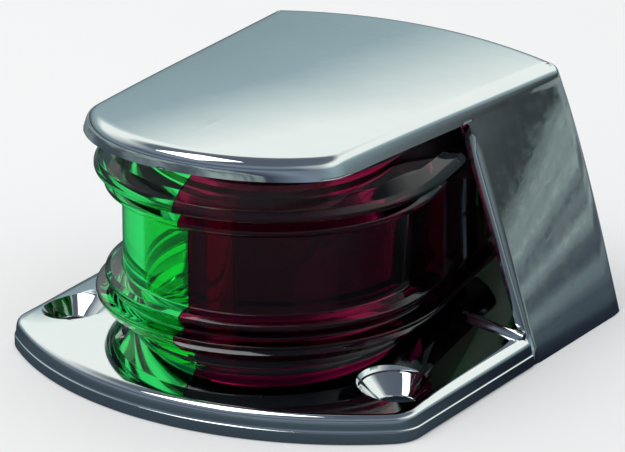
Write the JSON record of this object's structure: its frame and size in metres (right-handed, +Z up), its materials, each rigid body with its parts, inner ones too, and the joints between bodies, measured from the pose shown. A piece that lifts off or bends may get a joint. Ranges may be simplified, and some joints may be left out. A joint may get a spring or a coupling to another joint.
{
  "type": "navigation light",
  "caption": "Two-colour bow navigation light: red and green dioptric lens around one bulb, under a chromed die-cast hood and on a base plate with two screw holes.",
  "frame": {"origin": "middle of the footprint, on the deck the light stands on", "axes": "+Z up from the deck, -Y forward to the bow, +X to port, where the red lens is"},
  "size_m": [0.089, 0.0964, 0.0509],
  "materials": {
    "chrome": "bright chrome plate on die-cast zinc",
    "red_lens": "clear red acrylic, polished",
    "green_lens": "clear green acrylic, polished",
    "clear_glass": "clear lamp glass",
    "black_rubber": "matte",
    "brass": "plain",
    "nickel_plate": "nickel-plated brass, satin",
    "stainless_steel": "bright",
    "tungsten": "drawn wire",
    "solder": "dull",
    "aluminium": "plain",
    "phenolic_board": "sanded edge",
    "black_insulator": "vitrified"
  },
  "bodies": {
    "base": {"base_plate": "chrome", "lens_red": "red_lens", "lens_green": "green_lens", "lens_gasket_lower": "black_rubber", "wire_grommet": "black_rubber", "holder_shell": "nickel_plate", "holder_insulator": "phenolic_board", "holder_bracket": "nickel_plate", "bracket_rivet_port": "aluminium", "bracket_rivet_starboard": "aluminium", "contact_spring": "stainless_steel"},
    "cover": {"cover": "chrome", "lens_gasket_upper": "black_rubber"},
    "plunger": {"contact_plunger": "brass", "live_terminal": "brass"},
    "bulb": {"bulb_glass": "clear_glass", "bulb_stem": "clear_glass", "bulb_cap": "brass", "bulb_insulator": "black_insulator", "bulb_contact": "solder", "bulb_lead_upper": "stainless_steel", "bulb_lead_lower": "stainless_steel", "bulb_filament": "tungsten"},
    "washer_front": {"cover_washer_front": "stainless_steel"},
    "screw_front": {"cover_screw_front": "stainless_steel"},
    "washer_port": {"cover_washer_port": "stainless_steel"},
    "screw_port": {"cover_screw_port": "stainless_steel"},
    "washer_starboard": {"cover_washer_starboard": "stainless_steel"},
    "screw_starboard": {"cover_screw_starboard": "stainless_steel"}
  },
  "joints": [
    {"name": "cover_lift", "type": "slide", "parent": "base", "child": "cover", "axis": [0, 0, 1], "range_m": [0, 0.05]},
    {"name": "bulb_push", "type": "slide", "parent": "base", "child": "plunger", "axis": [0, 1, 0], "range_m": [0, 0.002], "stiffness_N_per_m": 500, "springref_m": -0.004, "deforming": ["contact_spring"]},
    {"name": "bulb_twist", "type": "hinge", "parent": "plunger", "child": "bulb", "pos_m": [0, 0.01665, 0.0257], "axis": [0, -1, 0], "range_deg": [0, 20]},
    {"name": "washer_drop_front", "type": "slide", "parent": "base", "child": "washer_front", "axis": [0, 0, -1], "range_m": [0, 0.0098]},
    {"name": "screw_turn_front", "type": "hinge", "parent": "washer_front", "child": "screw_front", "pos_m": [0, -0.027, 0.003], "axis": [0, 0, -1], "range_deg": [0, 5041]},
    {"name": "washer_drop_port", "type": "slide", "parent": "base", "child": "washer_port", "axis": [0, 0, -1], "range_m": [0, 0.0098]},
    {"name": "screw_turn_port", "type": "hinge", "parent": "washer_port", "child": "screw_port", "pos_m": [0.0316, 0.0376, 0.003], "axis": [0, 0, -1], "range_deg": [0, 5041]},
    {"name": "washer_drop_starboard", "type": "slide", "parent": "base", "child": "washer_starboard", "axis": [0, 0, -1], "range_m": [0, 0.0098]},
    {"name": "screw_turn_starboard", "type": "hinge", "parent": "washer_starboard", "child": "screw_starboard", "pos_m": [-0.0316, 0.0376, 0.003], "axis": [0, 0, -1], "range_deg": [0, 5041]}
  ],
  "couplings": [
    {"joint": "screw_turn_front", "follows": "washer_drop_front", "rad_per_m": 8976},
    {"joint": "screw_turn_port", "follows": "washer_drop_port", "rad_per_m": 8976},
    {"joint": "screw_turn_starboard", "follows": "washer_drop_starboard", "rad_per_m": 8976}
  ]
}
